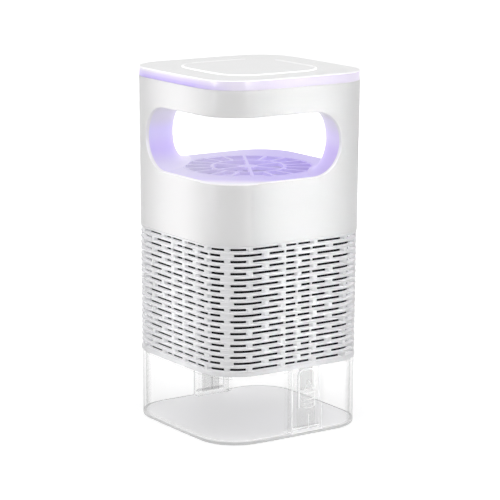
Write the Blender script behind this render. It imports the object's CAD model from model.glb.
import math

import bmesh
import bpy
import numpy as np
from mathutils import Matrix, Vector
from mathutils.bvhtree import BVHTree


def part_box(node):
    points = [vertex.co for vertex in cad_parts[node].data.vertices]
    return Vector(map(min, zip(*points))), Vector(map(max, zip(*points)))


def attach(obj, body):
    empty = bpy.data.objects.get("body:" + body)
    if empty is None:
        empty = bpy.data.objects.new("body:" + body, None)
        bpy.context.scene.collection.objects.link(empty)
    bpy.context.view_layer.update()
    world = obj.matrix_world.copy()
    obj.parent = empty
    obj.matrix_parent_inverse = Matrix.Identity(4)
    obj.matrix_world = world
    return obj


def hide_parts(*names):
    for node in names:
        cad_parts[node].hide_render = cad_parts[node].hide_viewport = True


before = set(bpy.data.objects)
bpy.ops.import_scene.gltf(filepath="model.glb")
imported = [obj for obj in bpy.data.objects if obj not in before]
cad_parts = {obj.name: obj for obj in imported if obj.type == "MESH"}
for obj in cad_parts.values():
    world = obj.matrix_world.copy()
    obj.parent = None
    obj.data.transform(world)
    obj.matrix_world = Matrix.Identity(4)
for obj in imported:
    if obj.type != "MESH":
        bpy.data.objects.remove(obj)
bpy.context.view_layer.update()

# ---- Camera ----
# A long lens a metre and a half away, a little above the head and turned a third of a
# right angle to the left of the front face, found from the image points below.
photo_w = photo_h = 500
camera_azimuth = math.radians(-34.2434)
camera_elevation = math.radians(11.6268)
camera_distance = 1.4753
camera_aim_right = 0.00125
camera_aim_height = 0.11384
camera_roll = math.radians(0.27)
lens = 160.55
sensor_width = 36.0
shift_x = shift_y = 0.0

camera_back = Vector((math.sin(camera_azimuth) * math.cos(camera_elevation),
                      -math.cos(camera_azimuth) * math.cos(camera_elevation),
                      math.sin(camera_elevation)))
camera_right = Vector((math.cos(camera_azimuth), math.sin(camera_azimuth), 0))
camera_up = camera_back.cross(camera_right)
camera_right, camera_up = (camera_right * math.cos(camera_roll) + camera_up * math.sin(camera_roll),
                           camera_up * math.cos(camera_roll) - camera_right * math.sin(camera_roll))
camera_at = (Vector((math.cos(camera_azimuth), math.sin(camera_azimuth), 0)) * camera_aim_right
             + Vector((0, 0, camera_aim_height)) + camera_back * camera_distance)

camera_data = bpy.data.cameras.new("camera")
camera_data.lens = lens
camera_data.sensor_width = sensor_width
camera_data.sensor_fit = "AUTO"
camera_data.shift_x, camera_data.shift_y = shift_x, shift_y
camera_data.clip_start, camera_data.clip_end = 0.05, 20
camera = bpy.data.objects.new("camera", camera_data)
bpy.context.collection.objects.link(camera)
camera.location = camera_at
camera.rotation_mode = "QUATERNION"
camera_axes = Matrix((camera_right, camera_up, camera_back)).transposed()
camera.rotation_quaternion = camera_axes.to_quaternion()
bpy.context.scene.camera = camera

# Named points of the photograph: the outline's sides, then the features that set the
# camera and the small fittings that are placed on a surface in view.
image_points = {
    "left_x": 139.1, "right_x": 361.5, "top_y": 55.0, "bottom_y": 444.7,
    "ring_lower_edge": (236.0, 91.5),
    "window_left_end": (146.5, 135.7),
    "window_right_end": (342.5, 137.0),
    "sill_middle": (240.0, 185.0),
    "grille_top_edge": (240.0, 247.0),
    "grille_lower_edge": (235.0, 376.7),
    "arrow_apex": (308.7, 380.4),
    "panel_top": (308.5, 368.5),
    "rail_left": (293.4, 400.0),
    "rail_right": (320.2, 400.0),
}


def on_surface(point, tree):
    """Where the ray through an image point first meets a surface, or the place nearest the ray."""
    longer = max(photo_w, photo_h)
    across = point[0] - photo_w / 2 + shift_x * longer
    upward = photo_h / 2 - point[1] + shift_y * longer
    ray = (camera_right * across + camera_up * upward
           - camera_back * (longer * lens / sensor_width)).normalized()
    hit = tree.ray_cast(camera_at, ray)[0]
    if hit is None:
        along = camera_at + ray * camera_distance
        hit = tree.find_nearest(along)[0]
    return hit


# ---- Clear catch tray ----
# One clear moulding that the head stands on: a floor, thin upright walls with a lip,
# and a niche in the front and in the rear wall for each latch tongue.
mm = 0.001
head_half, head_at, taper = 60 * mm, 229.1 * mm, 0.0170
skin_corner, skin_bow = 27.4 * mm, 1.55 * mm
tray_inset, tray_wall, tray_floor = 0.3 * mm, 2.2 * mm, 2.4 * mm
tray_top, lip_top = 45.3 * mm, 48.4 * mm
niche_low_x, niche_high_x, niche_depth = -4.7 * mm, 20.6 * mm, 5.4 * mm


def skin_sizes(z):
    """Half width, side radius, its centre and the corner's centre of the outline at height z.

    The half width shrinks in a straight line towards the table. Each side is an arc of
    radius (a^2 + s^2) / 2s that rises s over the half width a, and the corner's circle
    touches both of its neighbours from inside."""
    a = head_half * (1 - taper + taper * np.asarray(z, float) / head_at)
    s = skin_bow * a / head_half
    side_r = (a * a + s * s) / (2 * s)
    side_at = a - side_r
    corner_at = (2 * side_at + np.sqrt(4 * side_at ** 2
                 - 8 * (side_at ** 2 - (side_r - skin_corner) ** 2))) / 4
    return a, side_r, side_at, corner_at


def quarter_length(z):
    """Length of the outline from the middle of one side to the middle of the next."""
    a, side_r, side_at, corner_at = skin_sizes(z)
    bend = np.arctan2(corner_at, corner_at - side_at)
    return 2 * side_r * bend + skin_corner * (math.pi / 2 - 2 * bend)


def inset_of(points):
    """How deep each point lies inside the skin, by distance from the side's or corner's arc."""
    a, side_r, side_at, corner_at = skin_sizes(points[:, 2])
    far = np.maximum(abs(points[:, 0]), abs(points[:, 1]))
    near = np.minimum(abs(points[:, 0]), abs(points[:, 1]))
    bend = np.arctan2(corner_at, corner_at - side_at)
    on_side = np.arctan2(near, far - side_at) < bend
    return np.where(on_side, side_r - np.hypot(far - side_at, near),
                    skin_corner - np.hypot(far - corner_at, near - corner_at))


def skin(turn, z, inset=0.0):
    """Point on the skin at a turn, a height and a distance inside it.

    The turn counts quarters of the outline from the middle of the +X side towards +Y.
    Within a quarter the point runs along the side's arc, the corner's arc and the next
    side's arc by length, and then moves in along the outline's normal."""
    turn, z, inset = np.broadcast_arrays(np.asarray(turn, float), np.asarray(z, float),
                                         np.asarray(inset, float))
    a, side_r, side_at, corner_at = skin_sizes(z)
    bend = np.arctan2(corner_at, corner_at - side_at)
    first = side_r * bend
    whole = 2 * first + skin_corner * (math.pi / 2 - 2 * bend)
    quarter = np.floor(turn + 1e-12)
    run = (turn - quarter) * whole
    angle = np.where(run < first, run / side_r,
                     np.where(run > whole - first, math.pi / 2 - (whole - run) / side_r,
                              bend + (run - first) / skin_corner))
    nx, ny = np.cos(angle), np.sin(angle)
    px = np.where(run < first, side_at + side_r * nx,
                  np.where(run > whole - first, side_r * nx, corner_at + skin_corner * nx))
    py = np.where(run < first, side_r * ny,
                  np.where(run > whole - first, side_at + side_r * ny,
                           corner_at + skin_corner * ny))
    px, py = px - inset * nx, py - inset * ny
    c, s = np.cos(quarter * math.pi / 2), np.sin(quarter * math.pi / 2)
    return np.stack([c * px - s * py, s * px + c * py, z], -1)


def grid_faces(rows, columns, closed, start=0):
    """Four-sided faces of a grid of points, row by row, closed round its columns or not."""
    r, c = np.meshgrid(np.arange(rows - 1), np.arange(columns if closed else columns - 1),
                       indexing="ij")
    r, c = r.ravel(), c.ravel()
    n = (c + 1) % columns
    return np.stack([r * columns + c, r * columns + n, (r + 1) * columns + n,
                     (r + 1) * columns + c], 1) + start


def mesh_object(name, points, faces):
    """A mesh object of the points and faces, linked into the scene."""
    mesh = bpy.data.meshes.new(name)
    mesh.from_pydata(np.asarray(points, float).tolist(), [], np.asarray(faces).tolist())
    made = bpy.data.objects.new(name, mesh)
    bpy.context.collection.objects.link(made)
    return made


def weld_up(piece, weld, sharp=None):
    """Merge vertices closer than the weld distance and turn the faces outwards. Where a
    sharp angle is given, empty faces go too, and all but the edges over it are smooth."""
    work = bmesh.new()
    work.from_mesh(piece.data)
    bmesh.ops.remove_doubles(work, verts=work.verts, dist=weld)
    if sharp is not None:
        bmesh.ops.dissolve_degenerate(work, dist=weld, edges=work.edges)
    bmesh.ops.recalc_face_normals(work, faces=work.faces)
    if sharp is not None:
        limit = math.radians(sharp)
        for edge in work.edges:
            if len(edge.link_faces) == 2 and edge.calc_face_angle(0) > limit:
                edge.smooth = False
        for face in work.faces:
            face.smooth = True
    work.to_mesh(piece.data)
    work.free()


def loft(rings, closed=False):
    """Points and faces from each ring to the next, and from the last back to the first
    where the loft is closed. All the rings have the same number of points."""
    rings = np.asarray(rings, float)
    count, wide = rings.shape[:2]
    return rings.reshape(-1, 3), grid_faces(count + int(closed), wide, True) % (count * wide)


def make_piece(name, shape, material, body, sharp=35.0, weld=1e-7):
    """A welded, smooth piece of the shape's points and faces, in its material, on its body."""
    piece = mesh_object(name, *shape)
    weld_up(piece, weld, sharp)
    piece.data.materials.append(material)
    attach(piece, body)
    return piece


def face_vectors(piece, what):
    """The center or the normal of each face of a piece."""
    values = np.empty(len(piece.data.polygons) * 3)
    piece.data.polygons.foreach_get(what, values)
    return values.reshape(-1, 3)


def more_materials(piece, materials, index):
    """Add the materials after the piece's own, and give each face the one its index names."""
    for material in materials:
        piece.data.materials.append(material)
    piece.data.polygons.foreach_set("material_index", np.asarray(index).astype(int))


def new_material(name):
    """A material with nodes, its node tree and its shader."""
    material = bpy.data.materials.new(name)
    material.use_nodes = True
    return material, material.node_tree, material.node_tree.nodes["Principled BSDF"]


def feed(tree, target, inputs):
    """Set each input of a node to its value, or link it where the value is a socket."""
    for key, value in inputs.items():
        if isinstance(value, bpy.types.NodeSocket):
            tree.links.new(value, target.inputs[key])
        else:
            target.inputs[key].default_value = value


def node(tree, kind, out, inputs, **settings):
    """The output called out of a new node of a kind, with its settings and its inputs."""
    made = tree.nodes.new("ShaderNode" + kind)
    for key, value in settings.items():
        setattr(made, key, value)
    feed(tree, made, inputs)
    return made.outputs[out]


def noise(tree, place, scale, detail=2):
    """Soft noise over Object coordinates."""
    return node(tree, "TexNoise", "Fac", {"Vector": place, "Scale": scale, "Detail": detail})


def grain_bump(tree, place, scale, strength, distance, detail=2):
    """Normal of a fine noise that stands out by a distance in metres."""
    return node(tree, "Bump", "Normal", {"Height": noise(tree, place, scale, detail),
                                         "Strength": strength, "Distance": distance})


def spread(tree, value, low, high, start=0.0, end=1.0):
    """Carry a value that runs from start to end in a straight line to the range low to high."""
    return node(tree, "MapRange", "Result", {"Value": value, "From Min": start, "From Max": end,
                                             "To Min": low, "To Max": high})


def tone_ramp(tree, value, stops, ease="LINEAR"):
    """Colour of a ramp through stops, each a place from 0 to 1 and a colour."""
    made = tree.nodes.new("ShaderNodeValToRGB")
    ramp = made.color_ramp
    ramp.interpolation = ease
    while len(ramp.elements) < len(stops):
        ramp.elements.new(0.5)
    for element, (place, colour) in zip(ramp.elements, stops):
        element.position = place
        element.color = (*colour, 1)
    feed(tree, made, {"Fac": value})
    return made.outputs["Color"]


def clear_plastic(name, tone, face_on, edge_on, start, rough=0.12, glow=0.0):
    """Clear moulded plastic as a thin film: nearly all light passes where it is seen face
    on. From the start share of slant (one less the cosine) the film turns milky, until one
    looks along the wall. The glow is room light that the wall has gathered and carries."""
    material, tree, shader = new_material(name)
    place = node(tree, "TexCoord", "Object", {})
    slant = node(tree, "LayerWeight", "Facing", {"Blend": 0.5})
    feed(tree, shader, {"Base Color": (*tone, 1), "Roughness": rough, "IOR": 1.49,
                        "Emission Color": (*tone, 1), "Emission Strength": glow,
                        "Alpha": spread(tree, slant, face_on, edge_on, start),
                        "Normal": grain_bump(tree, place, 60, 0.06, 0.0004, detail=1)})
    return material


tray_clear = clear_plastic("tray clear plastic", [0.66] * 3, 0.006, 0.50, 0.44, glow=0.05)
tray_rim = clear_plastic("tray base rim plastic", [0.72] * 3, 0.85, 0.90, 0.5, glow=0.14)
tray_niche = clear_plastic("tray niche plastic", [0.74] * 3, 0.13, 0.55, 0.5, glow=0.10)

# The top of the floor is frosted, and carries the light that the clear walls lead to it.
tray_frost, frost_tree, frost = new_material("tray frosted floor")
frost_place = node(frost_tree, "TexCoord", "Object", {})
frost_tone = tone_ramp(frost_tree, noise(frost_tree, frost_place, 14),
                       [(0.3, (0.72, 0.72, 0.72)), (0.7, (0.78, 0.78, 0.785))])
feed(frost_tree, frost, {"Base Color": frost_tone, "Roughness": 0.55,
                         "Emission Color": frost_tone, "Emission Strength": 0.63,
                         "Normal": grain_bump(frost_tree, frost_place, 2500, 0.15, 0.0001)})

quarter_at_tray = float(quarter_length(20 * mm))
niche_low, niche_high = niche_low_x / quarter_at_tray, niche_high_x / quarter_at_tray
side_step = 1.6 * mm / quarter_at_tray
tray_turns = np.linspace(0, 4, 193)[:-1]
outer_turn, outer_in, inner_turn, inner_in = [], [], [], []
for start, low, high in ((0, 1 - niche_high, 1 - niche_low), (2, 3 + niche_low, 3 + niche_high)):
    plain = tray_turns[(tray_turns >= start) & (tray_turns < start + 2)]
    before, after = plain[plain < low - side_step], plain[plain > high + side_step]
    back_wall = np.linspace(low, high, 7)
    outer_turn += [before, [low, low], back_wall[1:-1], [high, high], after]
    outer_in += [before * 0, [0, 1], back_wall[1:-1] * 0 + 1, [1, 0], after * 0]
    inner_turn += [before, [low - side_step] * 2, back_wall[1:-1],
                   [high + side_step] * 2, after]
    inner_in += [before * 0, [0, 1], back_wall[1:-1] * 0 + 1, [1, 0], after * 0]
outer_turn, inner_turn = np.concatenate(outer_turn), np.concatenate(inner_turn)
outer_in, inner_in = np.concatenate(outer_in), np.concatenate(inner_in)
lip_front_in, lip_back_in = 2.0 * mm, 3.4 * mm
wall_in = tray_inset + niche_depth * outer_in
hall_in = tray_inset + tray_wall + niche_depth * inner_in
lip_out = tray_inset + np.where(outer_in > 0, niche_depth, lip_front_in)
lip_back = np.where(inner_in > 0, hall_in, tray_inset + lip_back_in)


def tray_ring(turns, inset, z, shrink=1.0):
    """One ring of the tray's wall, drawn in towards the middle by a share for its floor."""
    ring = skin(turns, z, inset)
    ring[:, :2] *= shrink
    return ring


# From the middle of the underside out, up the outer wall, over the lip, down inside, round
# the fillet, and back over the floor to its middle.
foot_profile = ((1.3, 0), (0.75, 0.12), (0.3, 0.45), (0.05, 1.0), (0, 1.6), (0, 2.4))
fillet_profile = ((0, 3.6), (0.1, 2.65), (0.3, 2.43), (0.4, 2.4))
tray_rings = [tray_ring(outer_turn, tray_inset + 1.2 * mm, 0, k) for k in (0, 0.35, 0.7)]
tray_rings += [tray_ring(outer_turn, tray_inset + i * mm, z * mm) for i, z in foot_profile]
tray_rings += [tray_ring(outer_turn, wall_in, z * mm) for z in
               (2.4, 2.8, 8, 16, 24, 32, 40, 44.9)]
tray_rings += [tray_ring(outer_turn, wall_in + 0.3 * mm, tray_top),
               tray_ring(outer_turn, lip_out, tray_top),
               tray_ring(outer_turn, lip_out, lip_top),
               tray_ring(inner_turn, lip_back, lip_top),
               tray_ring(inner_turn, lip_back, tray_top - 2 * mm)]
tray_rings += [tray_ring(inner_turn, hall_in, z * mm) for z in (43.3, 36, 28, 20, 12, 6)]
tray_rings += [tray_ring(inner_turn, hall_in + i * mm, z * mm) for i, z in fillet_profile]
tray_rings += [tray_ring(inner_turn, tray_inset + tray_wall, tray_floor, k)
               for k in (0.84, 0.5, 0)]
tray = make_piece("catch_tray_shell", loft(tray_rings), tray_clear, "tray", sharp=40)
middle, facing_up = face_vectors(tray, "center"), face_vectors(tray, "normal")[:, 2] > 0.2
frost_top, rim_top, niche_wall_y, beside = 2.62 * mm, 2.4 * mm, 45 * mm, 0.2 * mm
is_frost = facing_up & (middle[:, 2] > tray_floor - 0.01 * mm) & (middle[:, 2] < frost_top)
is_niche = ((middle[:, 2] < tray_top) & (abs(middle[:, 1]) > niche_wall_y)
            & (middle[:, 0] > niche_low_x - beside) & (middle[:, 0] < niche_high_x + beside))
more_materials(tray, (tray_frost, tray_rim, tray_niche),
               np.select([is_frost, middle[:, 2] < rim_top, is_niche], [1, 2, 3], 0))
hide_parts("catch_tray")


def bead(path, across, radius, sides=10, flat=1.0, closed=False):
    """Round bead along a path in an upright plane facing the front.

    At every path point (x, z) stands a ring: the point plus r cos f along the path's own
    normal and flat r sin f along y, with y at the given place. Open ends close in two
    steps to a point one radius beyond the path."""
    path = np.asarray(path, float)
    if closed:
        tangent = np.roll(path, -1, 0) - np.roll(path, 1, 0)
    else:
        tangent = np.gradient(path, axis=0)
    tangent /= np.linalg.norm(tangent, axis=1)[:, None]
    size = np.full(len(path), float(radius))
    if not closed:
        first, last = tangent[:1], tangent[-1:]
        path = np.concatenate([path[:1] - radius * first, path[:1] - 0.7 * radius * first,
                               path, path[-1:] + 0.7 * radius * last,
                               path[-1:] + radius * last])
        tangent = np.concatenate([first, first, tangent, last, last])
        size = np.concatenate([[0, 0.7 * radius], size, [0.7 * radius, 0]])
    turn = np.linspace(0, 2 * math.pi, sides + 1)[:-1]
    out_x = path[:, :1] - tangent[:, 1:] * size[:, None] * np.cos(turn)
    out_z = path[:, 1:] + tangent[:, :1] * size[:, None] * np.cos(turn)
    out_y = across + flat * size[:, None] * np.sin(turn)
    return loft(np.stack([out_x, out_y, out_z], -1), closed)


def joined(parts):
    """The points and faces of several meshes as one list each."""
    points, faces, start = [], [], 0
    for part_points, part_faces in parts:
        points.append(part_points)
        faces.append(np.asarray(part_faces) + start)
        start += len(part_points)
    return np.concatenate(points), np.concatenate(faces)


# Polished edges of the two niches catch the light as upright white lines.
polished, edge_tree, edge_shader = new_material("tray polished edge")
edge_flow = noise(edge_tree, node(edge_tree, "TexCoord", "Object", {}), 220)
feed(edge_tree, edge_shader, {"Base Color": (0.93, 0.93, 0.94, 1), "Roughness": 0.12,
                              "Coat Weight": 0.6, "Emission Color": (1, 1, 1, 1),
                              "Emission Strength": 0.22,
                              "Alpha": spread(edge_tree, edge_flow, 0.75, 0.95)})

# Each rail: its foot, its top, its steps, its x, its y in the front niche and its radius.
face_y = float(skin(3, 20 * mm, tray_inset)[1])
rail_places = ((1.9 * mm, 44.4 * mm, 12, niche_low_x, face_y + 0.35 * mm, 0.5 * mm),
               (21 * mm, 43.6 * mm, 8, niche_high_x - 0.7 * mm,
                face_y + niche_depth - 0.7 * mm, 0.55 * mm),
               (3.2 * mm, 20 * mm, 8, niche_high_x - 1.3 * mm, face_y + 0.9 * mm, 0.4 * mm))
rail_lines = []
for side in (1, -1):
    for foot, top, steps, x, y, radius in rail_places:
        path = np.stack([np.full(steps, x), np.linspace(foot, top, steps)], 1)
        points, faces = bead(path, y, radius)
        rail_lines.append((points * (1, side, 1), faces))
make_piece("niche_polished_edges", joined(rail_lines), polished, "tray")

# ---- Latch tongues ----
# A springy clear tongue in the front and in the rear niche, moulded in the tray's plastic
# and hung on a thin pin at its foot: a panel with a raised rim, an arrow and grip ribs.
tongue_clear = clear_plastic("tongue clear plastic", [0.70] * 3, 0.24, 0.60, 0.3, 0.1, glow=0.18)
panel_low_x, panel_high_x = 0.9 * mm, 14.4 * mm
panel_foot, panel_top_z, panel_round = 4.0 * mm, 44.2 * mm, 4.0 * mm
panel_front, panel_thick = -57.35 * mm, 1.3 * mm
rim_radius = 0.55 * mm


def arch(low, high, foot, top, radius, steps=9):
    """Path up one side, round an arc of the radius at each upper corner, and down again."""
    turn = np.linspace(0, math.pi / 2, steps)
    shoulder = top - radius
    left = np.stack([low + radius - radius * np.cos(turn), shoulder + radius * np.sin(turn)], 1)
    right = np.stack([high - radius + radius * np.sin(turn), shoulder + radius * np.cos(turn)], 1)
    up = np.stack([np.full(12, low), np.linspace(foot, shoulder, 13)[:-1]], 1)
    down = np.stack([np.full(12, high), np.linspace(shoulder, foot, 13)[1:]], 1)
    return np.concatenate([up, left, right, down])


def slab(outline, y_front, y_back, soft):
    """Plate with an outline in x and z between two depths: the outline's rings are drawn in
    by the softness at both faces, and a fan to the middle closes each face."""
    outline = np.asarray(outline, float)
    along = np.roll(outline, -1, 0) - np.roll(outline, 1, 0)
    along /= np.linalg.norm(along, axis=1)[:, None]
    inward = np.stack([along[:, 1], -along[:, 0]], 1)
    middle = outline.mean(0)
    if np.sum(inward * (middle - outline)) < 0:
        inward = -inward
    rings = []
    for draw, share, y in ((soft, 0, y_front), (soft, 1, y_front),
                           (0.3 * soft, 1, y_front + 0.3 * soft), (0, 1, y_front + soft),
                           (0, 1, y_back - soft), (0.3 * soft, 1, y_back - 0.3 * soft),
                           (soft, 1, y_back), (soft, 0, y_back)):
        flat = (outline + draw * inward) * share + middle * (1 - share)
        rings.append(np.stack([flat[:, 0], np.full(len(flat), y), flat[:, 1]], 1))
    return loft(rings)


panel_outline = arch(panel_low_x, panel_high_x, panel_foot, panel_top_z, panel_round)
panel_points, panel_faces = slab(panel_outline, panel_front, panel_front + panel_thick, 0.25 * mm)
panel_tree = BVHTree.FromPolygons([Vector(p) for p in panel_points], panel_faces.tolist())
apex = on_surface(image_points["arrow_apex"], panel_tree)
rim_path = arch(panel_low_x + rim_radius, panel_high_x - rim_radius, 19 * mm,
                panel_top_z - rim_radius, panel_round - rim_radius)
arrow_half, arrow_tall = 3.6 * mm, 6.4 * mm
corners = np.array([(0, 0), (arrow_half, -arrow_tall), (0, -0.82 * arrow_tall),
                    (-arrow_half, -arrow_tall)]) + (apex.x, apex.z)
share = np.linspace(0, 1, 9)[:-1, None]
arrow_path = np.concatenate([a + (b - a) * share
                             for a, b in zip(corners, np.roll(corners, -1, 0))])
tongue_parts = [(panel_points, panel_faces),
                bead(rim_path, panel_front, rim_radius, flat=0.8),
                bead(arrow_path, panel_front, 0.28 * mm, 8, closed=True)]
rib_x, rib_half, rib_sag = apex.x + 0.1 * mm, 4.3 * mm, 0.6 * mm
run = np.linspace(-1, 1, 11)
for below_apex in (8.7 * mm, 12.8 * mm, 15.6 * mm, 18.3 * mm):
    rib_path = np.stack([rib_x + run * rib_half, apex.z - below_apex + rib_sag * run ** 2], 1)
    tongue_parts.append(bead(rib_path, panel_front, 0.32 * mm, 8))
middle_rib = np.stack([np.full(6, rib_x), np.linspace(4.6 * mm, 13 * mm, 6)], 1)
tongue_parts.append(bead(middle_rib, panel_front, 0.42 * mm, 8))
stem_low_x, stem_high_x, stem_foot, stem_top = 2.4 * mm, 12.9 * mm, 30 * mm, 48.2 * mm
stem_front, stem_back = -56.15 * mm, -55.4 * mm
stem = [(stem_low_x, stem_foot), (stem_high_x, stem_foot), (stem_high_x, stem_top),
        (stem_low_x, stem_top)]
tongue_parts.append(slab(stem, stem_front, stem_back, 0.15 * mm))
pin_low_x, pin_high_x, pin_y, pin_z = -3.3 * mm, 17.3 * mm, -56.7 * mm, 5.3 * mm
pin = np.stack([np.linspace(pin_low_x, pin_high_x, 15), np.full(15, pin_z)], 1)
tongue_parts.append(bead(pin, pin_y, 0.9 * mm, 12))
tongue_points, tongue_faces = joined(tongue_parts)
for side, place in ((1, "front"), (-1, "rear")):
    tongue = make_piece("latch_tongue_" + place + "_moulding",
                        (tongue_points * (1, side, 1), tongue_faces), tongue_clear,
                        place + "_tongue", sharp=40)
    proud = abs(face_vectors(tongue, "center")[:, 1]) > -panel_front + 0.02 * mm
    more_materials(tongue, (polished,), proud)
    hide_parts("latch_tongue_" + place)

# ---- Mesh sleeve ----
# A sleeve of fine black mesh stands just inside the grille, so that the slots look black
# and no insect gets back out. It is a woven strip, welded into a ring and pushed up inside.
sleeve_inset, sleeve_low, sleeve_top = 5.9 * mm, 46 * mm, 129.2 * mm
mesh_black, weave_tree, weave = new_material("fine black mesh")
weave_place = node(weave_tree, "TexCoord", "Object", {})
warp, weft = (node(weave_tree, "TexWave", "Fac", {"Vector": weave_place, "Scale": 330},
                   bands_direction=way) for way in "XZ")
thread = node(weave_tree, "Math", "Value", {0: warp, 1: weft}, operation="MAXIMUM")
feed(weave_tree, weave, {
    "Base Color": tone_ramp(weave_tree, thread, [(0, [0.004] * 3), (1, (0.016, 0.016, 0.017))]),
    "Roughness": 0.8, "Specular IOR Level": 0.15,
    "Normal": node(weave_tree, "Bump", "Normal", {"Height": thread, "Strength": 0.5,
                                                  "Distance": 0.0002})})
sleeve_turn = np.linspace(0, 4, 161)[:-1]
foot_step, foot_z, wall = 1.2 * mm, 48.9 * mm, 0.7 * mm
sleeve_rings = [skin(sleeve_turn, z, sleeve_inset + i) for i, z in
                ((foot_step, sleeve_low), (foot_step, foot_z - 0.3 * mm), (0, foot_z),
                 (0, sleeve_top), (wall, sleeve_top), (wall, foot_z + 0.4 * mm),
                 (foot_step + wall, foot_z), (foot_step + wall, sleeve_low),
                 (foot_step, sleeve_low))]
sleeve = make_piece("mesh_sleeve", loft(sleeve_rings), mesh_black, "housing")
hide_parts("screen_sleeve")

# ---- Grille shell ----
# The white lower part of the head, moulded in one: twenty rounded ribs between twenty-one
# rows of slots, short posts that cross the slots like bricks in a wall, and a top flange.
grille_low, grille_top = 45.65 * mm, 130.35 * mm
slot_rows, slot_pitch, first_slot, slot_half = 21, 3.9025 * mm, 128.0 * mm, 1.0 * mm
rib_depth, post_step = 3.2 * mm, 12.45 * mm


def plastic(name, colour, rough, mottle=0.012, grain=0.12, coat=0.0, specular=0.5):
    """Moulded opaque plastic: a colour that drifts a little, a fine spark-eroded grain in
    the bump, and a gloss that drifts with the colour."""
    material, tree, shader = new_material(name)
    place = node(tree, "TexCoord", "Object", {})
    drift = noise(tree, place, 9, 3)
    dark = [max(0.0, c * (1 - mottle)) for c in colour]
    light = [min(1.0, c * (1 + mottle)) for c in colour]
    feed(tree, shader, {"Base Color": tone_ramp(tree, drift, [(0.3, dark), (0.7, light)]),
                        "Roughness": spread(tree, drift, rough - 0.04, rough + 0.04),
                        "Specular IOR Level": specular,
                        "Coat Weight": coat, "Coat Roughness": 0.15,
                        "Normal": grain_bump(tree, place, 3800, grain, 0.00006)})
    return material


shell_white = plastic("white shell plastic", (0.805, 0.80, 0.803), 0.34, specular=0.15)

# The grille's thin ribs let light through, so the walls of the slots look lit from within.
rib_white = plastic("white rib plastic", (0.80, 0.80, 0.81), 0.34, specular=0.15)
rib_tree = rib_white.node_tree
rib_share = node(rib_tree, "Attribute", "Fac", {}, attribute_name="slot_depth")
feed(rib_tree, rib_tree.nodes["Principled BSDF"],
     {"Emission Color": (0.97, 0.96, 1.0, 1),
      "Emission Strength": spread(rib_tree, rib_share, 0.015, 0.30, 0.04, 0.40)})


def rounded_square(turn, half, corner, z):
    """Point of a square with rounded corners; the turn counts its quarters as the skin's does."""
    turn, half, corner, z = np.broadcast_arrays(np.asarray(turn, float), half, corner, z)
    quarter = np.floor(turn + 1e-12)
    flat = half - corner
    whole = 2 * flat + corner * math.pi / 2
    run = (turn - quarter) * whole
    angle = np.clip((run - flat) / corner, 0, math.pi / 2)
    px = np.where(run > flat, flat + corner * np.cos(angle), half)
    px = np.where(run > whole - flat, whole - run, px)
    py = np.where(run < flat, run, flat + corner * np.sin(angle))
    c, s = np.cos(quarter * math.pi / 2), np.sin(quarter * math.pi / 2)
    return np.stack([c * px - s * py, s * px + c * py, z], -1)


rib_profile = np.array([(3.2, -0.9625), (1.10, -0.9625), (0.66, -0.82), (0.22, -0.46),
                        (0.08, 0.0), (0.22, 0.46), (0.66, 0.82), (1.10, 0.9625),
                        (3.2, 0.9625)]) * mm
grille_turn = np.linspace(0, 4, 161)[:-1]
grille_parts = []
for rib in range(slot_rows - 1):
    rib_z = first_slot - (rib + 0.5) * slot_pitch
    grille_parts.append(loft([skin(grille_turn, rib_z + z, i) for i, z in rib_profile], True))
last_slot = first_slot - (slot_rows - 1) * slot_pitch
flange_top, flange_low = 132.85 * mm, 129.95 * mm
upper_band = ((0.25, first_slot + slot_half + 0.02 * mm), (0.0, grille_top - 0.15 * mm),
              (0.15, grille_top), (2.1, grille_top), (2.1, flange_top))
lower_band = ((3.2, last_slot - slot_half), (1.0, last_slot - slot_half),
              (0.35, last_slot - slot_half - 0.25 * mm), (0.0, last_slot - slot_half - 0.8 * mm),
              (0.0, grille_low + 0.35 * mm), (0.1, grille_low + 0.1 * mm), (0.35, grille_low),
              (3.2, grille_low))
upper_rings, lower_rings = ([skin(grille_turn, z, i * mm) for i, z in band]
                            for band in (upper_band, lower_band))
upper_rings += [rounded_square(grille_turn, 47 * mm, 3 * mm, flange_top),
                rounded_square(grille_turn, 47 * mm, 3 * mm, flange_low),
                skin(grille_turn, flange_low, 0.9 * mm)]
grille_parts += [loft(upper_rings, True), loft(lower_rings, True)]

quarter_at_grille = float(quarter_length(90 * mm))
side_wide, corner_narrow, corner_wide = 3.6 * mm, 3.8 * mm, 9.2 * mm
reach_short, reach_long = 3.2 * mm, 4.4 * mm
post_turn, post_row, post_wide, post_deep = [], [], [], []
for row in range(slot_rows):
    middles, corner = ((-3, -1, 1, 3), corner_narrow) if row % 2 == 0 else ((-2, 0, 2), corner_wide)
    for side in range(4):
        post_turn += [side + k * post_step / quarter_at_grille for k in middles] + [side + 0.5]
        post_wide += [side_wide] * len(middles) + [corner]
        post_row += [row] * (len(middles) + 1)
        post_deep += [reach_long if side % 2 or k > 1 else reach_short for k in middles]
        post_deep += [reach_long]
post_turn = np.array(post_turn) % 4
post_row, post_wide, post_deep = np.array(post_row), np.array(post_wide), np.array(post_deep)
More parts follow.
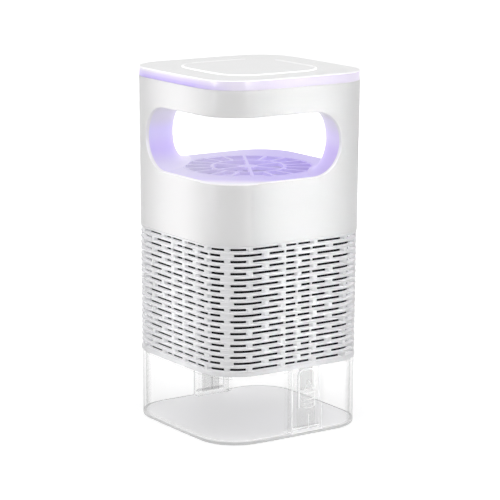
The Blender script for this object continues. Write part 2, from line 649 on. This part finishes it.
# Outline of a post seen from above: share of its width, then sideways and inwards in mm. An
# inward place of 0 stands for the post's own depth.
post_shape = np.array([(-0.5, 0, 0), (-0.5, 0, 1.05), (-0.5, 0.3, 0.62), (-0.25, 0, 0.55),
                       (0, 0, 0.55), (0.25, 0, 0.55), (0.5, -0.3, 0.62), (0.5, 0, 1.05),
                       (0.5, 0, 0)])
corners_round = len(post_shape)
post_inset = np.where(post_shape[:, 2] > 0, post_shape[:, 2] * mm, post_deep[:, None])
post_side = (post_shape[:, 0] * post_wide[:, None] + post_shape[:, 1] * mm) / quarter_at_grille
post_ends = [skin((post_turn[:, None] + post_side) % 4,
                  (first_slot - post_row * slot_pitch + end)[:, None], post_inset)
             for end in (-slot_half - 0.25 * mm, slot_half + 0.25 * mm)]
post_points = np.stack(post_ends, 1).reshape(-1, 3)
k = np.arange(corners_round)
after = (k + 1) % corners_round
caps = [(8, 7, 1, 0), (7, 6, 2, 1), (6, 5, 3, 2), (5, 4, 3, 3),
        (9, 10, 16, 17), (10, 11, 15, 16), (11, 12, 14, 15), (12, 13, 14, 14)]
one_post = np.concatenate([np.stack([k, after, corners_round + after, corners_round + k], 1),
                           caps])
post_faces = one_post + (np.arange(len(post_turn)) * 2 * corners_round)[:, None, None]
grille_parts.append((post_points, post_faces.reshape(-1, 4)))

# Upright stiffeners behind the ribs, unevenly spaced as they show in the slots.
rod_places = ((-33.5, -5.4, 8.2, 23.5, 37.5), (-9.4, 0.0, 11.2)) * 2
rod_turn = np.array([side + place * mm / quarter_at_grille for side in range(4)
                     for place in rod_places[side]]) % 4
rod_rows = np.linspace(grille_low + 2 * mm, grille_top - 1 * mm, 9)
rod_shape = np.array([(-0.5, 4.3), (-0.4, 2.9), (0.4, 2.9), (0.5, 4.3)]) * mm
# The glow stops where the posts begin in the mesh: posts and stiffeners are too thick for it.
posts_first = sum(len(points) for points, _ in grille_parts[:-1])
for turn in rod_turn:
    points, faces = loft([skin((turn + rod_shape[:, 0] / quarter_at_grille) % 4, z,
                               rod_shape[:, 1]) for z in rod_rows])
    foot_face, top_face = (3, 2, 1, 0), (32, 33, 34, 35)
    grille_parts.append((points, np.concatenate([faces, [foot_face, top_face]])))
grille = make_piece("grille_shell_moulding", joined(grille_parts), rib_white, "housing",
                    sharp=50, weld=1e-8)
grille_co = np.empty(len(grille.data.vertices) * 3)
grille.data.vertices.foreach_get("co", grille_co)
lit_depth = np.clip(inset_of(grille_co.reshape(-1, 3)) / rib_depth, 0, 1)
lit_depth[posts_first:] = 0
slot_depth = grille.data.attributes.new("slot_depth", "FLOAT", "POINT")
slot_depth.data.foreach_set("value", lit_depth)
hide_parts("grille_shell")

# ---- Upper housing ----
# The white upper part of the head, one shell with two wide openings that wrap round the
# near and the far corner and leave a pillar at each of the other two.
window_middle, window_round, window_centre = 191.1 * mm, 20.8 * mm, 10.8 * mm
housing_low, housing_top, housing_wall = 130.5 * mm, 229.1 * mm, 2.2 * mm
rim_soft = 0.8 * mm
quarter_at_window = float(quarter_length(window_middle))


def lit_plastic(name, colours, places, along, glow, share=0.5, rough=0.4, patches=0.0,
                patch_scale=16, edge=None):
    """White plastic washed by the violet lamp: the colours follow one another along a
    direction, through places measured in metres. A share of the colour is the plastic's
    own and the glow is the lamp's light that it gives back. Patches shift the colours a
    little along the way, and an edge is a second direction with its start, its end and
    the colour that the plastic turns to there."""
    material, tree, shader = new_material(name)
    place = node(tree, "TexCoord", "Object", {})
    first, last = places[0], places[-1]

    def linear(colour):
        return [c / 255 / 12.92 if c / 255 <= 0.04045 else ((c / 255 + 0.055) / 1.055) ** 2.4
                for c in colour]

    def reach(direction, start, end, shift=None):
        run = node(tree, "VectorMath", "Value", {0: place, 1: direction}, operation="DOT_PRODUCT")
        if shift is not None:
            run = node(tree, "Math", "Value", {0: run, 1: shift}, operation="ADD")
        return spread(tree, run, 0, 1, start, end)

    width = patches * (last - first)
    drift = spread(tree, noise(tree, place, patch_scale), -width, width)
    stops = [((at - first) / (last - first), linear(colour))
             for at, colour in zip(places, colours)]
    tone = tone_ramp(tree, reach(along, first, last, drift), stops, "EASE")
    if edge is not None:
        direction, start, end, colour = edge
        tone = node(tree, "Mix", 2, {0: reach(direction, start, end), 6: tone,
                                     7: (*linear(colour), 1)}, data_type="RGBA")
    own = node(tree, "VectorMath", "Vector", {0: tone, "Scale": share}, operation="SCALE")
    feed(tree, shader, {"Base Color": own, "Roughness": rough, "Emission Color": tone,
                        "Emission Strength": glow,
                        "Normal": grain_bump(tree, place, 3500, 0.1, 0.00006)})
    return material


def window_columns(radius):
    """Turn and lower and upper edge height of every column round the housing.

    Each of the two windows is a slot with round ends: straight edges one radius below and
    above its middle as far as the end's centre, then turn = centre + radius sin f and
    height = middle -+ radius cos f. In a pillar both edges are the middle height."""
    ends = (quarter_at_window / 2 + window_centre) / quarter_at_window
    f = np.linspace(0, math.pi / 2, 19)
    straight = np.linspace(0, ends, 26)[:-1]
    curved = ends + radius * np.sin(f) / quarter_at_window
    pillar = np.linspace(curved[-1], 1, 13)[1:-1]
    offset = np.concatenate([straight, curved, pillar])
    drop = np.concatenate([np.full(len(straight), radius), radius * np.cos(f), pillar * 0])
    offset = np.concatenate([[-1], -offset[:0:-1], offset])
    drop = np.concatenate([[0], drop[:0:-1], drop])
    turn = np.concatenate([0.5 + offset, 2.5 + offset]) % 4
    drop = np.concatenate([drop, drop])
    return turn, window_middle - drop, window_middle + drop


def wall_grid(radius, inset, low, top, rows_low=12, rows_top=8):
    """The housing's surface at an inset: rows of rings from its foot to the lower edge of
    the windows, and from their upper edge to its top, moved evenly in height."""
    turn, edge_low, edge_top = window_columns(radius)
    share = np.linspace(0, 1, rows_low)[:, None] ** 0.8
    lower = low + (edge_low[None] - low) * share
    share = np.linspace(0, 1, rows_top)[:, None] ** 1.25
    upper = edge_top[None] + (top - edge_top[None]) * share
    return skin(turn[None], lower, inset), skin(turn[None], upper, inset)


rim_radius_out = window_round + rim_soft
bevel = 0.3 * mm
skin_grids = wall_grid(rim_radius_out, 0, housing_low + bevel, housing_top - bevel)
inner_grids = wall_grid(window_round, housing_wall, housing_low, housing_top)
inner_turns, edge_low, edge_top = window_columns(window_round)
outer_turns = window_columns(rim_radius_out)[0]
is_window = edge_top - edge_low > 1e-6
housing_parts = [loft(grid) for grid in (*skin_grids, *inner_grids)]
for z, inward in ((housing_low, bevel), (housing_top, -bevel)):
    housing_parts.append(loft([skin(outer_turns, z + inward, 0),
                               skin(outer_turns, z + 0.3 * inward, 0.3 * bevel),
                               skin(outer_turns, z, bevel),
                               skin(inner_turns, z, housing_wall)]))
# The windows' rounded edge: a quarter circle from the skin, then straight in to the inner
# wall. Only the columns that lie in a window have one.
quarter_round = ((1.0, 0.0), (0.62, 0.08), (0.29, 0.29), (0.08, 0.62), (0.0, 1.0))
count = len(inner_turns)
for part in (1, 2):
    strips = []
    for extra, depth in quarter_round:
        columns = window_columns(window_round + extra * rim_soft)
        strips.append(skin(columns[0], columns[part], depth * rim_soft))
    strips.append(skin(inner_turns, (edge_low, edge_top)[part - 1], housing_wall))
    points, faces = loft(strips)
    inside = is_window[faces[:, 0] % count] | is_window[faces[:, 1] % count]
    housing_parts.append((points, faces[inside]))
housing = make_piece("upper_housing_shell", joined(housing_parts), shell_white, "housing",
                     sharp=55, weld=2e-6)
rim_white = lit_plastic("window rim lit from inside",
                        [(255, 254, 255), (248, 246, 252), (230, 229, 233), (222, 221, 224)],
                        (0.1700, 0.1840, 0.1930, 0.2125), (0, 0, 1), 0.50, share=0.45, rough=0.3)
middle = face_vectors(housing, "center")
deep, lit_middle, lit_half, skin_deep = inset_of(middle), 189 * mm, 20 * mm, 0.06 * mm
more_materials(housing, (rim_white,), (deep > skin_deep) & (deep < housing_wall - skin_deep)
               & (abs(middle[:, 2] - lit_middle) < lit_half))
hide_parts("upper_housing")


def cut_holes(piece, cutters):
    """Take the cutters' space out of the piece and keep the result as its mesh."""
    for cutter in cutters:
        modifier = piece.modifiers.new("hole", "BOOLEAN")
        modifier.operation, modifier.solver, modifier.object = "DIFFERENCE", "EXACT", cutter
    shaped = bpy.data.meshes.new_from_object(
        piece.evaluated_get(bpy.context.evaluated_depsgraph_get()))
    piece.modifiers.clear()
    piece.data = shaped
    for cutter in cutters:
        bpy.data.objects.remove(cutter, do_unlink=True)


def plug(box, outline):
    """A closed plug through the rear wall, used to cut a hole: an outline in x and z about
    the middle of a box."""
    made = mesh_object("plug", *slab(box.mean(0)[::2] + outline, 50 * mm, 65 * mm, 0.01 * mm))
    weld_up(made, 1e-7)
    return made


# Holes in the rear wall for the power socket and for the button, each with a small gap.
socket_box, button_box = np.array(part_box("power_socket")), np.array(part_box("power_button"))
around = np.linspace(0, 2 * math.pi, 49)[:-1]
button_radius = np.ptp(button_box[:, 0]) / 2 + 0.15 * mm
button_hole = button_radius * np.stack([np.cos(around), np.sin(around)], 1)
socket_hole = rounded_square(np.linspace(0, 4, 33)[:-1], 1, 0.3, 0)[:, :2]
socket_hole *= np.ptp(socket_box, axis=0)[::2] / 2
cut_holes(housing, [plug(socket_box, socket_hole), plug(button_box, button_hole)])

# ---- Inlet deck ----
# The floor of the light chamber: a flat plate in the housing, flush with the windows'
# lower edge, with a round inlet over the fan. It glows in the light of the lamp above it.
sill_at, ceiling_at = 170.3 * mm, 212.5 * mm
deck_thick, inlet_radius, deck_inset = 2.2 * mm, 43.3 * mm, 2.25 * mm

deck_lit = lit_plastic("deck lit by the lamp",
                       [(222, 218, 240), (219, 210, 246), (204, 191, 247), (206, 194, 243)],
                       (-0.060, -0.020, 0.025, 0.055), (0.83, -0.56, 0), 0.52, patches=0.12,
                       edge=((-0.6, -0.8, 0), 0.054, 0.070, (250, 247, 255)))
plate_turn = np.linspace(0, 4, 193)[:-1]


def ring_plate(z_low, z_top, hole, inset, turns, soft=0.2 * mm):
    """Flat plate from a round hole out to the skin at an inset: a closed loop of rings,
    along its top, down its edge, back along its underside and up the hole's wall."""
    angle = np.arctan2(skin(turns, z_top)[:, 1], skin(turns, z_top)[:, 0])
    inner = np.stack([np.cos(angle), np.sin(angle)], 1)

    def row(share, z, in_by):
        edge = skin(turns, z_top, inset + in_by)
        edge[:, 2] = z
        edge[:, :2] = inner * (hole + in_by) * (1 - share) + edge[:, :2] * share
        return edge

    return loft([row(0, z_top - soft, 0), row(0, z_top, soft), row(0.33, z_top, 0),
                 row(0.66, z_top, 0), row(1, z_top, soft), row(1, z_top - soft, 0),
                 row(1, z_low, 0), row(0.5, z_low, 0), row(0, z_low, 0)], True)


deck = make_piece("inlet_deck_plate",
                  ring_plate(sill_at - deck_thick, sill_at, inlet_radius, deck_inset, plate_turn),
                  deck_lit, "housing")
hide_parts("inlet_deck")

# ---- Inlet grille ----
# The round grille flush with the deck: a rim, a middle ring, eighteen ribs between them and
# a star in the middle. Its rounded ribs are lighter than the dark fan below them.
grille_lit = lit_plastic("inlet ribs lit by the lamp",
                         [(214, 209, 234), (212, 202, 240), (207, 195, 250), (196, 181, 240)],
                         (-0.045, -0.015, 0.015, 0.042), (0.83, -0.56, 0), 0.55, patches=0.15)
for name in ("inlet_grille", "grille_ribs", "grille_star", "inlet_collar"):
    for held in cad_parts[name].material_slots:
        held.material = grille_lit

# ---- Pillar liners ----
# Hollow columns inside the two pillars that round the way from the near to the far window.
# Lamp light falls on them from above, so they shine violet, most of all half way down.
bulge_middle, bulge_end = 51.2 * mm, 40.5 * mm


def pillar_liner(rows=33, columns=41):
    """Surface of the liner at the corner between the far and the left wall, then its back.

    For each height angle t from -90 to 90 degrees, the two window ends meet the wall at
    e = 10.8 mm + 20.8 mm cos t from the middle of their side. The front is the curve
    (u/A)^n + (v/A)^n = 1 about the corner of the inner walls, with A reaching both ends
    and n set so that its middle lies 40.5 mm + 10.7 mm cos t from the object's axis. The
    height is 20.8 mm sin t all along the curve. The back follows the housing's wall."""
    t = np.linspace(-math.pi / 2, math.pi / 2, rows)[:, None]
    reach = window_centre + window_round * np.cos(t)
    end_z = window_middle + window_round * np.sin(t)
    end = skin(2 - reach / quarter_at_window, end_z, housing_wall)
    corner = -end[..., 0]
    size = corner - end[..., 1]
    depth = corner - (bulge_end + (bulge_middle - bulge_end) * np.cos(t)) / math.sqrt(2)
    power = -math.log(2) / np.log(depth / size)
    angle = np.linspace(0, math.pi / 2, columns)[None]
    c, s = np.cos(angle), np.sin(angle)
    radius = size / (c ** power + s ** power) ** (1 / power)
    front = np.stack([radius * c - corner, corner - radius * s, end_z + 0 * angle], -1)
    share = np.linspace(0, 1, columns)[None]
    back_turn = 2 - reach / quarter_at_window + share * (2 * reach / quarter_at_window - 1)
    back = skin(back_turn, end_z, housing_wall + 0.05 * mm)
    loop = np.concatenate([front, back[:, 1:-1]], 1)
    ends = loop[[0, -1]].mean(1, keepdims=True) + 0 * loop[[0, -1]]
    ends[..., 2] = loop[[0, -1], :, 2]
    return loft(np.concatenate([ends[:1], loop, ends[1:]]))


liner_heights = (0.1700, 0.1830, 0.1930, 0.2040, 0.2110)
liner_colours = {"left": [(216, 210, 238), (184, 162, 243), (190, 178, 240), (196, 192, 208),
                          (190, 190, 188)],
                 "right": [(199, 186, 236), (204, 189, 238), (214, 205, 239), (212, 208, 222),
                           (203, 202, 200)]}
liner_points, liner_faces = pillar_liner()
for side, place in ((1, "left"), (-1, "right")):
    tunnel_lit = lit_plastic(place + " pillar lit by the lamp", liner_colours[place],
                             liner_heights, (0, 0, 1), 0.58, patches=0.06,
                             edge=((0, 1, 0), -0.01, 0.09, (236, 232, 248)))
    liner = make_piece("pillar_liner_" + place + "_column",
                       (liner_points * (side, side, 1), liner_faces), tunnel_lit, "housing",
                       sharp=60)
    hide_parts("pillar_liner_" + place)

# ---- Lamp plate ----
# The ceiling of the light chamber: a white plate with a round opening for the lamp.
plate_lit = lit_plastic("ceiling lit by the lamp",
                        [(222, 217, 243), (206, 200, 238), (214, 209, 240)],
                        (-0.06, 0.0, 0.06), (0.707, 0.707, 0), 0.55, patches=0.2)
plate_top, lamp_opening = 214.7 * mm, 32 * mm
lamp_plate = make_piece("lamp_plate_ceiling",
                        ring_plate(ceiling_at, plate_top, lamp_opening, deck_inset, plate_turn),
                        plate_lit, "housing")
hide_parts("lamp_plate")

# ---- Light ring ----
# A milky band between the housing and the cover, lit violet by small lamps behind it: pale
# at its upper edge and deeper violet towards the housing.
ring_glow = lit_plastic("milky light ring",
                        [(188, 170, 238), (206, 190, 250), (228, 217, 254), (249, 246, 255)],
                        (0.2292, 0.2306, 0.2328, 0.2346), (0, 0, 1), 0.42, rough=0.3, patches=0.12,
                        patch_scale=28, edge=((0.83, -0.56, 0), -0.036, -0.010, (244, 237, 255)))
ring_turn = np.linspace(0, 4, 193)[:-1]
ring_profile = ((0.45, 229.2), (0.2, 229.35), (0.1, 229.6), (0.15, 232.5), (0.25, 234.7),
                (1.0, 235.0), (4.0, 235.0), (4.0, 229.2))
ring_rows = [skin(ring_turn, z * mm, i * mm) for i, z in ring_profile]
light_ring = make_piece("light_ring_band", loft(ring_rows, True), ring_glow, "housing")
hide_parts("light_ring")

# ---- Top cover ----
# The white lid: a soft bright rim, a very shallow dish and, proud of it, a flat square
# inlay with round corners whose edge catches the light as a fine line.
cover_white = plastic("cover plastic", (0.93, 0.93, 0.93), 0.3)
edge_bright = lit_plastic("cover edge lit by the ring", [(253, 252, 255), (255, 255, 255)],
                          (0.234, 0.236), (0, 0, 1), 0.75, share=0.6, rough=0.3)
cover_turn = np.linspace(0, 4, 193)[:-1]
outline_z = housing_top
dish_half, dish_corner, dish_floor, underside = 37.2 * mm, 22.3 * mm, 234.9 * mm, 234.5 * mm


def shrunk(rows, share):
    """The rows drawn in towards the middle by a share, at the same height."""
    return rows * (share, share, 1)


def cover_row(inset, z):
    """The outline of the housing's top at an inset, raised to a height."""
    row = skin(cover_turn, outline_z, inset)
    row[:, 2] = z
    return row


cover_profile = ((0.9, 234.85), (0.35, 234.95), (0.12, 235.12), (0.2, 235.35), (0.7, 235.46),
                 (1.6, 235.42), (3.5, 235.32), (9.0, 235.26), (18.0, 235.26))
cover_rows = [cover_row(i * mm, z * mm) for i, z in cover_profile]
for z, share in ((235.26 * mm, 1.0), (dish_floor, 1.0), (dish_floor, 0.5), (dish_floor, 0.0),
                 (underside, 0.0), (underside, 0.5), (underside, 1.0)):
    cover_rows.append(shrunk(rounded_square(cover_turn, dish_half, dish_corner, z), share))
cover_rows += [cover_row(1.2 * mm, underside), cover_rows[0]]
cover = make_piece("top_cover_lid", loft(cover_rows), cover_white, "housing",
                   sharp=60)
middle = face_vectors(cover, "center")
middle[:, 2] = outline_z
more_materials(cover, (edge_bright,), inset_of(middle) < 0.45 * mm)
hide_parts("top_cover")

inlay_edge = lit_plastic("inlay edge in the light", [(240, 239, 240), (255, 255, 255)],
                         (-0.004, 0.014), (-0.27, -1.02, 0), 0.75, share=0.6, rough=0.3)
inlay_half, inlay_corner = 37.7 * mm, 22.8 * mm
inlay_profile = ((0.0, 234.95), (37.6, 234.95), (38.2, 235.2), (38.05, 235.42), (37.7, 235.62),
                 (37.2, 235.7), (36.4, 235.68), (34.0, 235.64), (0.0, 235.62))
inlay_rows = [shrunk(rounded_square(cover_turn, inlay_half, inlay_corner, z * mm),
                     half * mm / inlay_half) for half, z in inlay_profile]
inlay = make_piece("top_inlay_plate", loft(inlay_rows), cover_white, "housing",
                   sharp=60)
past_corner = np.maximum(abs(face_vectors(inlay, "center")[:, :2]) - (inlay_half - inlay_corner), 0)
more_materials(inlay, (inlay_edge,), np.hypot(*past_corner.T) > inlay_corner - 1 * mm)
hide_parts("top_inlay")

# ---- Lamp, fan and fittings ----
# The parts that the model carries over as they are: the lamp's board and lens, the fan with
# its motor, boards, leads and screws, and the rear socket and button. Each keeps its shape.


def metal(name, colour, rough, streak, stretch=(1, 1, 1)):
    """Metal whose gloss drifts in fine streaks drawn out along one direction."""
    material, tree, shader = new_material(name)
    place = node(tree, "Mapping", "Vector", {"Vector": node(tree, "TexCoord", "Object", {}),
                                             "Scale": stretch})
    drift = noise(tree, place, streak)
    feed(tree, shader, {"Base Color": (*colour, 1), "Metallic": 1,
                        "Roughness": spread(tree, drift, rough - 0.08, rough + 0.08)})
    return material


fan_lit = lit_plastic("fan plastic under the lamp",
                      [(58, 55, 70), (124, 118, 152), (214, 205, 243)],
                      (0.139, 0.150, 0.164), (0, 0, 1), 0.5, share=0.5, rough=0.35)
lamp_lens = clear_plastic("lamp lens", (0.92, 0.90, 1.0), 0.35, 0.8, 0.4, 0.08)
led_lit = lit_plastic("small lamps lit violet", [(214, 190, 255), (235, 225, 255)],
                      (0.0, 0.24), (0, 0, 1), 1.2, rough=0.2)
board_green, screw_steel, lead_black = (0.03, 0.16, 0.07), (0.62, 0.62, 0.64), (0.035, 0.035, 0.037)
board_white, fitting_black = (0.82, 0.82, 0.84), (0.03, 0.03, 0.032)
finishes = {
    "lamp_window": lamp_lens, "uv_leds": led_lit, "ring_leds": led_lit,
    "lamp_board": plastic("white solder mask", board_white, 0.25, coat=0.4),
    "ring_led_board": plastic("white ring board", board_white, 0.25, coat=0.4),
    "control_board": plastic("green solder mask", board_green, 0.25, mottle=0.08, coat=0.5),
    "fan_board": plastic("green fan board", board_green, 0.25, mottle=0.08, coat=0.5),
    "fan_frame": fan_lit, "fan_impeller": fan_lit,
    "stator_core": metal("laminated core", (0.33, 0.34, 0.36), 0.40, 700, (1, 1, 30)),
    "stator_coils": metal("enamelled copper winding", (0.80, 0.38, 0.16), 0.30, 900, (1, 1, 6)),
    "fan_bearing": metal("sintered bronze", (0.62, 0.45, 0.22), 0.45, 1500),
    "fan_shaft": metal("ground shaft", (0.72, 0.72, 0.74), 0.22, 500, (1, 1, 12)),
    "magnet_ring": plastic("dark ferrite", (0.045, 0.045, 0.048), 0.5, mottle=0.1),
    "shaft_clip": metal("spring clip", (0.60, 0.60, 0.62), 0.3, 800),
    "lamp_lead": plastic("lamp lead rubber", lead_black, 0.6, mottle=0.08),
    "fan_lead": plastic("fan lead rubber", lead_black, 0.6, mottle=0.08),
    "power_socket": plastic("socket plastic", fitting_black, 0.45, mottle=0.08, grain=0.2),
    "button_switch": plastic("switch plastic", fitting_black, 0.45, mottle=0.08, grain=0.2),
    "power_button": plastic("button plastic", (0.72, 0.72, 0.73), 0.25, coat=0.3),
}
for place in ("fan", "cover", "housing"):
    finishes[place + "_screws"] = metal(place + " screws", screw_steel, 0.28, 900, (1, 1, 10))
for node_name, finish in finishes.items():
    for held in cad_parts[node_name].material_slots:
        held.material = finish

# ---- Stage ----
# A pale floor and a white room. Both look white to the camera, through clear plastic and in
# reflections, and both light the object at a plain level. The floor keeps its shadow.
scene = bpy.context.scene
scene.view_settings.view_transform = "Standard"


def seen_directly(tree):
    """One for a ray from the camera, through clear plastic or off a gloss, else zero."""
    ray = tree.nodes.new("ShaderNodeLightPath").outputs
    seen = node(tree, "Math", "Value", {0: ray["Is Camera Ray"], 1: ray["Is Transmission Ray"]},
                operation="MAXIMUM")
    return node(tree, "Math", "Value", {0: seen, 1: ray["Is Glossy Ray"]}, operation="MAXIMUM")


floor_half, floor_z = 4, -0.0001
floor = mesh_object("floor", [(x * floor_half, y * floor_half, floor_z)
                              for x, y in ((-1, -1), (1, -1), (1, 1), (-1, 1))], [(0, 1, 2, 3)])
floor_finish, floor_tree, paint = new_material("pale floor")
floor_reach = node(floor_tree, "VectorMath", "Value",
                   {0: node(floor_tree, "TexCoord", "Object", {})}, operation="LENGTH")
floor_white = node(floor_tree, "Math", "Value",
                   {0: seen_directly(floor_tree),
                    1: spread(floor_tree, floor_reach, 0.60, 1.0, 0.12, 0.70)},
                   operation="MULTIPLY")
feed(floor_tree, paint, {"Base Color": (0.74, 0.74, 0.74, 1), "Roughness": 0.9,
                         "Specular IOR Level": 0.0, "Emission Color": (1, 1, 1, 1),
                         "Emission Strength": floor_white})
floor.data.materials.append(floor_finish)

world = bpy.data.worlds.new("studio")
scene.world = world
world.use_nodes = True
room = world.node_tree
feed(room, room.nodes["Background"], {
    "Color": (1, 1, 1, 1), "Strength": spread(room, seen_directly(room), 0.31, 1.0)})


def soft_lamp(name, place, aim, size_x, size_y, power, opening=180):
    """A rectangular lamp at a place, turned to its aim, with its light's opening in degrees."""
    light = bpy.data.lights.new(name, "AREA")
    light.shape = "RECTANGLE"
    light.size, light.size_y, light.energy = size_x, size_y, power
    light.spread = math.radians(opening)
    lamp = bpy.data.objects.new(name, light)
    bpy.context.collection.objects.link(lamp)
    lamp.location = place
    lamp.rotation_mode = "QUATERNION"
    lamp.rotation_quaternion = (Vector(aim) - Vector(place)).to_track_quat("-Z", "Y")
    return lamp


soft_lamp("left_box", (-1.10, 0.50, 0.50), (0, 0, 0.12), 0.8, 1.1, 0.55)
soft_lamp("right_box", (0.84, -0.84, 0.56), (0, 0, 0.17), 0.8, 1.1, 1.1)
soft_lamp("top_box", (-0.1, -0.1, 1.5), (0, 0, 0.2), 1.2, 1.2, 9.0)
back_box = soft_lamp("back_box", (0.62, 1.05, 0.22), (0, 0, 0.14), 0.9, 0.45, 2.4)
back_box.visible_glossy = False
# Two narrow boxes with honeycomb grids, one square on to each seen side, lift its middle.
soft_lamp("left_grid", (-1.2, -0.006, 0.47), (0, -0.006, 0.47), 0.05, 0.9, 0.164, 7.2)
soft_lamp("right_grid", (0.0, -1.2, 0.47), (0.0, 0, 0.47), 0.05, 0.9, 0.168, 7.2)


def on_image(name, keep=None):
    """Image x and y of a finished piece's vertices that face the camera: the offset from the
    camera across and upward, over its depth, times lens over sensor width and image size."""
    mesh = bpy.data.objects[name].data
    co, normal = np.empty(len(mesh.vertices) * 3), np.empty(len(mesh.vertices) * 3)
    mesh.vertices.foreach_get("co", co)
    mesh.vertex_normals.foreach_get("vector", normal)
    co, normal = co.reshape(-1, 3), normal.reshape(-1, 3)
    offset = co - np.array(camera_at)
    seen = np.sum(normal * offset, 1) < 0
    if keep is not None:
        seen &= keep(co)
    offset = offset[seen]
    longer = max(photo_w, photo_h)
    scale = longer * lens / sensor_width / (offset @ -np.array(camera_back))
    return np.stack([photo_w / 2 - shift_x * longer + offset @ np.array(camera_right) * scale,
                     photo_h / 2 + shift_y * longer - offset @ np.array(camera_up) * scale], 1)


def near_column(places, x, wide=3):
    """The places within a few pixels of an upright line of the image."""
    return places[abs(places[:, 0] - x) < wide]


def opening_edge(co):
    """Vertices of the housing in the rounded edge of a window, just below its skin."""
    deep = inset_of(co)
    return (deep > 0.1 * mm) & (deep < 1.2 * mm) & (abs(co[:, 2] - window_middle) < 21.5 * mm)


def front_tongue(first, count):
    """Test for one part of the front tongue, by the order of its vertices before welding.
    The weld drops a few vertices ahead of it, so a point can be off by about 1.5 pixels."""
    def keep(co):
        return (np.arange(len(co)) >= first) & (np.arange(len(co)) < first + count)
    return keep


part_sizes = [len(points) for points, _ in tongue_parts]
outline = np.concatenate([on_image(name) for name in
                          ("catch_tray_shell", "grille_shell_moulding", "upper_housing_shell",
                           "light_ring_band", "top_cover_lid", "top_inlay_plate")])
edge = on_image("upper_housing_shell", opening_edge)
side = near_column(edge, image_points["sill_middle"][0])
band = near_column(on_image("light_ring_band"), image_points["ring_lower_edge"][0])
skirt = near_column(on_image("upper_housing_shell", lambda co: co[:, 2] < 150 * mm),
                    image_points["grille_top_edge"][0])
foot = near_column(on_image("grille_shell_moulding"), image_points["grille_lower_edge"][0])
arrow = on_image("latch_tongue_front_moulding", front_tongue(sum(part_sizes[:2]), part_sizes[2]))
arch_rim = on_image("latch_tongue_front_moulding", front_tongue(part_sizes[0], part_sizes[1]))
left_rail = on_image("niche_polished_edges", lambda co: (co[:, 0] < 0) & (co[:, 1] < 0))
right_rail = on_image("niche_polished_edges", lambda co: (co[:, 0] > 0) & (co[:, 1] < 0))
shows = {"left_x": outline[:, 0].min(), "right_x": outline[:, 0].max(),
         "top_y": outline[:, 1].min(), "bottom_y": outline[:, 1].max(),
         "ring_lower_edge": band[band[:, 1].argmax()],
         "window_left_end": edge[edge[:, 0].argmin()],
         "window_right_end": edge[edge[:, 0].argmax()],
         "sill_middle": side[side[:, 1].argmax()],
         "grille_top_edge": skirt[skirt[:, 1].argmax()],
         "grille_lower_edge": foot[foot[:, 1].argmax()],
         "arrow_apex": arrow[arrow[:, 1].argmin()],
         "panel_top": arch_rim[arch_rim[:, 1].argmin()],
         "rail_left": left_rail[abs(left_rail[:, 1] - 400).argmin()],
         "rail_right": right_rail[abs(right_rail[:, 1] - 400).argmin()]}
